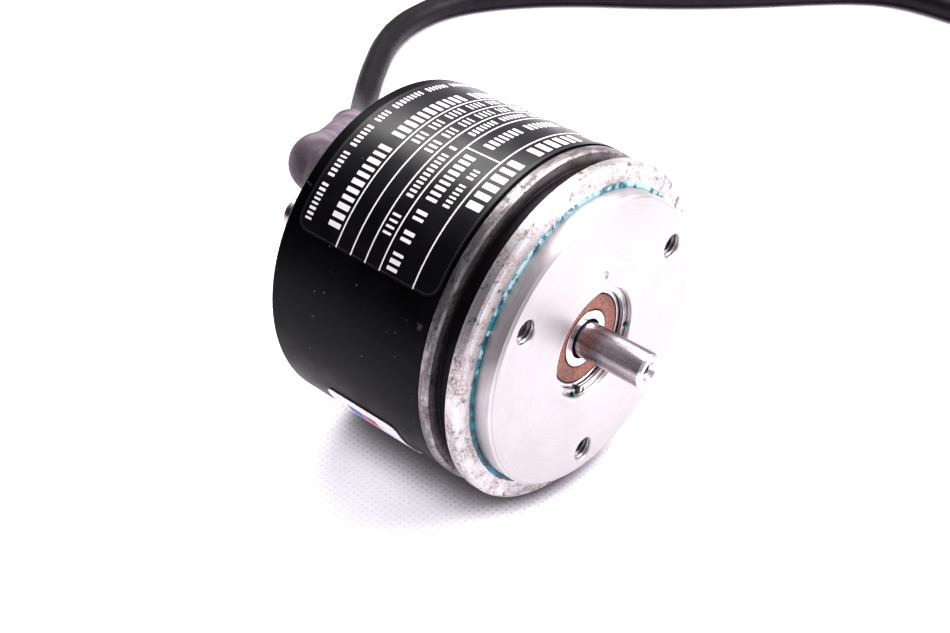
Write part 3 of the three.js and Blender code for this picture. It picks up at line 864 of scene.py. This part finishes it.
def lacquer_dabs():
    """Small flat drops in the bearing's mouth."""
    drops = []
    places = ((9.35, -12, 0.9, 0.42), (9.3, -115, 0.9, 0.36), (9.5, -118, 0.5, 0.22))
    for radius, degrees, y, size in places:
        drop = bmesh.new()
        bmesh.ops.create_icosphere(drop, subdivisions=3, radius=size)
        for vert in drop.verts:
            vert.co *= 1 + 0.25 * noise.noise(vert.co * 3)
            vert.co.y *= 0.6
        at = around(radius, degrees, y)
        drops.append(moved(drop, *at))
    return joined(*drops)


piece("lacquer_bead", lacquer_bead(), TEAL, sharp=80)
piece("lacquer_dabs", lacquer_dabs(), TEAL, sharp=80)


# ---------- case ----------
def case():
    """Deep-drawn can with holes in its rear for the screws and the outlet."""
    can = lathe([
        (0, 41.8), (27.4, 41.8), (27.4, 11.15, 0.05), (CASE_RADIUS, 11.15, 0.12),
        (CASE_RADIUS, CASE_REAR, 0.7), (0, CASE_REAR),
    ], 240)
    screw_holes = []
    for degrees in FIXING_ANGLES:
        at = around(SCREW_CIRCLE, degrees)
        screw_holes.append(moved(lathe([(0, 41), (1.3, 41), (1.3, 45), (0, 45)], 32), *at))
    outlet_hole = moved(lathe([(0, 41), (4.4, 41), (4.4, 45), (0, 45)], 48), *OUTLET_AT)
    return carved(can, outlet_hole, *screw_holes)


piece("case_can", case(), MATERIALS["black_case"], ["case"])


def cover_screw(degrees):
    """Cheese head with a rounded edge and a slot."""
    at = around(SCREW_CIRCLE, degrees)
    head = lathe([(0, 37.2), (1, 37.2), (1, 43.95), (2.75, 43.95, 0.1), (2.75, 46.3, 0.5), (0, 46.9)], 48)
    slot = box(0.7, 1.6, 6.5, (0, 46.6, 0))
    slot.transform(Matrix.Rotation(math.radians(degrees * 1.7), 4, "Y"))
    return moved(carved(head, slot), at.x, 0, at.z)


for number, degrees in enumerate(FIXING_ANGLES, 1):
    piece(f"cover_screw_head_{number}", cover_screw(degrees), MATERIALS["spring_steel"],
          [f"cover_screw_{number}"])


def outlet():
    """Moulded cable outlet: a neck through the case, a flanged body, two grip grooves."""
    return moved(lathe([
        (3.2, 41), (4.1, 41), (4.1, 44.1), (6.5, 44.1, 0.2), (6.5, 45.6, 0.2), (6.1, 45.8, 0.1),
        (6.1, 46.5, 0.1), (6.5, 46.7, 0.2), (6.5, 47.6, 0.2), (6.1, 47.8, 0.1), (6.1, 48.5, 0.1),
        (6.5, 48.7, 0.2), (6.5, 49.5, 0.3), (3.2, 49.5),
    ], 64), *OUTLET_AT)


piece("cable_outlet_body", outlet(), MATERIALS["dark_plastic"], ["cable_outlet"])


# ---------- label and sticker ----------
LABEL_START, LABEL_END = 18, 147            # degrees
LABEL_FRONT, LABEL_REAR = 11.5, 41.4


def plate(start, end, front, rear, corner):
    """A thin curved plate on the case."""
    bm = arc_patch(bmesh.new(), LABEL_RADIUS, start, end, front, rear, corner, 0.7)
    bmesh.ops.recalc_face_normals(bm, faces=bm.faces)
    bmesh.ops.solidify(bm, geom=bm.faces, thickness=FOIL_THICKNESS)
    return bm


def blocks(bm, centre, height, start, end, width, gap, groups):
    """Plain blocks in a row, in groups: a stand-in for a row of printing that says nothing."""
    front = centre - height / 2
    rear = centre + height / 2
    degrees = start
    while degrees > end:
        for _ in range(random.choice(groups)):
            span = math.degrees(width * random.uniform(0.8, 1.2) / INK_RADIUS)
            if degrees - span < end:
                return
            arc_patch(bm, INK_RADIUS, degrees - span, degrees, front, rear, 0.12, 0.6)
            degrees -= span + math.degrees(gap / INK_RADIUS)
        degrees -= math.degrees(2.2 * width / INK_RADIUS)


def label_print():
    """White rules and rows of plain blocks."""
    half_rule = 0.14
    bm = bmesh.new()
    for y in (32.3, 29.15, 26.1, 23.05, 16.1):
        arc_patch(bm, INK_RADIUS, 20, 146.6, y - half_rule, y + half_rule, step=0.8)
    arc_patch(bm, INK_RADIUS, 99.2, 99.75, 16.1, 23.05)
    # middle, height, from, to, width, gap, blocks in a group
    blocks(bm, 39.5, 1.35, 143, 24, 0.42, 0.40, (4, 6, 8))
    blocks(bm, 34.2, 2.5, 141.5, 24, 0.80, 0.62, (8, 11))
    blocks(bm, 30.8, 1.7, 106, 26, 0.42, 0.55, (3, 4))
    blocks(bm, 27.6, 1.7, 107, 26, 0.42, 0.55, (3, 4))
    blocks(bm, 24.6, 1.7, 136, 128, 0.42, 0.60, (4,))
    blocks(bm, 24.6, 1.4, 123, 101, 0.45, 0.42, (11,))
    blocks(bm, 24.6, 1.4, 94, 26, 0.45, 0.42, (5, 7))
    blocks(bm, 20.9, 2.1, 145, 101, 0.62, 0.52, (3, 2, 9))
    blocks(bm, 20.2, 2.0, 96, 30, 0.62, 0.52, (4, 7))
    blocks(bm, 18.0, 1.3, 121, 103, 0.42, 0.40, (6, 3))
    blocks(bm, 13.9, 2.7, 118, 45, 1.15, 0.75, (5, 6))
    return bm


def perimeter(inset_degrees, inset, corner):
    """Points round a rounded rectangle inside the label's edge, in order."""
    start, end = LABEL_START + inset_degrees, LABEL_END - inset_degrees
    front, rear = LABEL_FRONT + inset, LABEL_REAR - inset
    turn = math.degrees(corner / LABEL_RADIUS)
    steps = 60              # points along each straight edge
    corners = ((end - turn, rear - corner), (start + turn, rear - corner), (start + turn, front + corner),
               (end - turn, front + corner))
    points = []
    for quarter, (degrees, y) in enumerate(corners):
        arc = []
        for step in range(7):
            angle = math.radians(90 * quarter + 15 * step)
            arc.append(Vector((degrees + turn * math.cos(angle), y + corner * math.sin(angle))))
        if points:
            last = points[-1]
            points += [last.lerp(arc[0], k / steps) for k in range(1, steps)]
        points += arc
    points += [points[-1].lerp(points[0], k / steps) for k in range(1, steps)]
    return [around(LINE_RADIUS, degrees, y) for degrees, y in points]


def label_outline():
    """The faint line just inside the foil's cut edge."""
    line = bmesh.new()
    outer = [line.verts.new(point) for point in perimeter(0.6, 0.3, 2.2)]
    inner = [line.verts.new(point) for point in perimeter(0.95, 0.48, 2.05)]
    for k in range(len(outer)):
        line.faces.new((outer[k - 1], outer[k], inner[k], inner[k - 1]))
    return line


def sticker_print():
    """Two plain colour bars."""
    blue = arc_patch(bmesh.new(), INK_RADIUS, 207, 214, 26.9, 30.4, 0.3, 0.7)
    red = arc_patch(bmesh.new(), INK_RADIUS, 207, 214, 23.9, 26.6, 0.3, 0.7)
    return blue, red


piece("label_plate", plate(LABEL_START, LABEL_END, LABEL_FRONT, LABEL_REAR, 2.5), MATERIALS["label_foil"],
      ["label"])
piece("label_rules_and_blocks", label_print(), WHITE_INK)
piece("label_edge_line", label_outline(), FAINT_INK)
piece("sticker_plate", plate(202, 230, 18.5, 34, 1.5), MATERIALS["white_foil"], ["sticker"])
blue_bar, red_bar = sticker_print()
piece("sticker_blue_bar", blue_bar, BLUE_INK)
piece("sticker_red_bar", red_bar, RED_INK)


# ---------- front bearing ----------
RING_START = -103       # the ring's ends, in degrees
RING_SPAN = 350


def retaining_ring():
    """Snap ring of flat wire, open at the bottom left, with a small eye near each end."""
    bm = bmesh.new()
    section = ((8.5, 1.2), (8.55, 1.15), (9.75, 1.15), (9.8, 1.2), (9.8, 1.8), (9.75, 1.85), (8.55, 1.85),
               (8.5, 1.8))
    arcs = 140
    corners = len(section)
    rows = []
    for k in range(arcs + 1):
        degrees = RING_START + RING_SPAN * k / arcs
        rows.append([bm.verts.new(around(radius, degrees, y)) for radius, y in section])
    for row, following in zip(rows, rows[1:]):
        for k in range(corners):
            after = (k + 1) % corners
            bm.faces.new((row[k], following[k], following[after], row[after]))
    bm.faces.new(rows[0])
    bm.faces.new(rows[-1])
    bmesh.ops.recalc_face_normals(bm, faces=bm.faces)
    eyes = [moved(lathe([(0, 0), (0.33, 0), (0.33, 3), (0, 3)], 24), *around(9.1, degrees))
            for degrees in (RING_START + 5, RING_START + RING_SPAN - 5)]
    return carved(bm, *eyes)


piece("retaining_ring", retaining_ring(), MATERIALS["spring_steel"], ["bearing_retaining_ring"])
piece("outer_ring", lathe([
    (9.1, 2.05, 0.2), (9.4, 2.35, 0.15), (9.4, 8.05, 0.3), (7.9, 8.05, 0.08), (7.9, 7.2), (7.3, 7.2),
    (7.3, 6.1), (7.72, 5.6), (7.93, 5.05), (7.72, 4.5), (7.3, 4.0), (7.3, 2.9), (7.9, 2.9),
    (7.9, 2.05, 0.08),
], 144), MATERIALS["polished_steel"], ["front_bearing_outer_ring"])
piece("inner_ring", lathe([
    (3.42, 2.05), (4.9, 2.05, 0.12), (4.9, 2.9), (5.2, 2.9), (5.2, 4.0), (4.78, 4.5), (4.57, 5.05),
    (4.78, 5.6), (5.2, 6.1), (5.2, 7.2), (4.9, 7.2), (4.9, 8.05, 0.12), (3.1, 8.05, 0.2), (3.1, 2.45, 0.12),
], 128), MATERIALS["polished_steel"], ["front_bearing_inner_ring"], body="rotor")
piece("seal", lathe([
    (5.02, 2.2, 0.05), (5.3, 2.12, 0.05), (7.6, 2.12, 0.08), (7.8, 2.22, 0.05), (7.8, 2.62), (5.02, 2.62),
], 144), MATERIALS["seal_brown"], ["front_bearing_seal"])

# ---------- shaft ----------
piece("shaft_pin", lathe([
    (0, -7.7), (0.9, -8.2), (0.9, -9.65, 0.1), (1.75, -10.5, 0.05), (2.6, -10.5, 0.05), (3, -10.1, 0.12),
    (3, 19.75, 0.05), (2.6, 19.75), (2.6, 20.35), (3, 20.35, 0.05), (3, 28.4, 0.3), (0, 28.4),
], 128), MATERIALS["polished_steel"], ["shaft"], body="rotor", sharp=25)


# ---------- balls ----------
def ball_set(radius, pitch, count, y):
    """Balls spread evenly on a circle."""
    balls = []
    for k in range(count):
        ball = bmesh.new()
        bmesh.ops.create_icosphere(ball, subdivisions=4, radius=radius)
        at = around(pitch, 360 * k / count, y)
        balls.append(moved(ball, *at))
    return joined(*balls)


piece("front_balls", ball_set(1.66, 6.25, 7, 5.05), MATERIALS["polished_steel"],
      [f"front_bearing_ball_{k}" for k in range(1, 8)], body="front_ball_set")
piece("rear_balls", ball_set(1.17, 5.25, 6, 17.1), MATERIALS["polished_steel"],
      [f"rear_bearing_ball_{k}" for k in range(1, 7)], body="rear_ball_set")


# ---------- floor ----------
FLOOR_GLOW = 0.46       # painted light: the floor glows so shadows stay pale, except under the encoder, where the glow is cut to paint a shadow
CONTACT_REACH = 0.013   # how far from a touching piece the painted contact shadow reaches
DOT_PITCH = 2.9         # radians of the dots' pattern per millimetre


def staged(name, bm, material):
    """A mesh that belongs to the set and not to the encoder."""
    mesh = meshed(name, bm)
    mesh.materials.append(material)
    made = placed(name, mesh)


def floor():
    """Pale cloth with a faint pattern of pressed dots; painted contact shadow near touching pieces, and a
    painted glow that is cut under the encoder to paint a shadow.
    """
    s = Surface("floor_cloth")
    x, y, _ = s.split()
    diagonal_a = s.math("SINE", s.math("MULTIPLY", s.math("ADD", x, y), DOT_PITCH))
    diagonal_b = s.math("SINE", s.math("MULTIPLY", s.math("SUBTRACT", x, y), DOT_PITCH))
    dots = s.band(s.times(diagonal_a, diagonal_b), 0.25, 0.8)
    tone = s.mix(dots, (0.90, 0.88, 0.92), (0.74, 0.71, 0.79))
    # painted shadow: the cloth's colour is darkened near touching pieces
    near = s.tree.nodes.new("ShaderNodeAmbientOcclusion")
    near.inputs["Distance"].default_value = CONTACT_REACH
    tone = s.mix(s.band(near.outputs["AO"], 0.15, 0.6), (0.10, 0.085, 0.105), tone)
    # painted light and shadow: the floor's glow, cut out under the encoder
    under = s.times(s.band(s.math("ABSOLUTE", x), 4, 22, 1, 0), s.band(y, -8, 3), s.band(y, 44, 56, 1, 0))
    glow = s.mix(under, tone, (0.01, 0.01, 0.01))
    relief = s.bump(s.math("ADD", dots, s.noise(1.5, 3)), 0.05, 0.6)
    material = s.done(tone, s.band(s.noise(0.05, 2), 0.3, 0.7, 0.7, 0.9), relief,
                      Emission_Color=glow, Emission_Strength=FLOOR_GLOW)
    bm = bmesh.new()
    bmesh.ops.create_grid(bm, x_segments=1, y_segments=1, size=4)
    staged("floor", bm, material)


floor()


# ---------- light ----------
def softbox(name, at, aim, size, power):
    """A square lamp that points at aim."""
    light = bpy.data.lights.new(name, "AREA")
    light.shape = "SQUARE"
    light.size = size
    light.energy = power
    light.color = (1, 0.985, 0.99)
    made = placed(name, light)
    made.location = at
    made.rotation_euler = (Vector(aim) - Vector(at)).to_track_quat("-Z", "Y").to_euler()


def dark_card(name, corners):
    """A black flag outside the view that gives the metal something dark to mirror."""
    s = Surface(name)
    material = s.done(s.mix(s.noise(0.01, 1), (0.010, 0.009, 0.012), (0.016, 0.014, 0.018)), 0.9)
    bm = bmesh.new()
    bm.faces.new([bm.verts.new(corner) for corner in corners])
    staged(name, bm, material)


softbox("key", (0.40, -0.40, 0.46), (0, 0, 0.03), 0.45, 7.5)
softbox("top", (0.25, 0.30, 0.70), (0, 0.02, 0.03), 0.5, 5)
dark_card("left_card", [(-0.45, 0.05, 0.05), (-0.25, 0.45, 0.05), (-0.25, 0.45, 0.60), (-0.45, 0.05, 0.60)])


def studio_world():
    """A soft sky that is bright on the right of the view and dim on the left."""
    world = bpy.data.worlds.new("studio")
    bpy.context.scene.world = world
    world.use_nodes = True
    tree = world.node_tree
    across = tree.nodes.new("ShaderNodeVectorMath")
    across.operation = "DOT_PRODUCT"
    across.inputs[1].default_value = (0.62, -0.55, 0.55)
    tree.links.new(tree.nodes.new("ShaderNodeTexCoord").outputs["Generated"], across.inputs[0])
    strength = tree.nodes.new("ShaderNodeMapRange")
    strength.inputs["From Min"].default_value = -0.7
    strength.inputs["From Max"].default_value = 0.9
    strength.inputs["To Min"].default_value = 0.05
    strength.inputs["To Max"].default_value = 0.95
    tree.links.new(across.outputs["Value"], strength.inputs["Value"])
    background = tree.nodes["Background"]
    background.inputs["Color"].default_value = (0.98, 0.95, 1.0, 1)
    tree.links.new(strength.outputs["Result"], background.inputs["Strength"])


studio_world()

view = bpy.context.scene.view_settings
view.view_transform = "Standard"
view.look = "Medium High Contrast"
view.exposure = 0.0
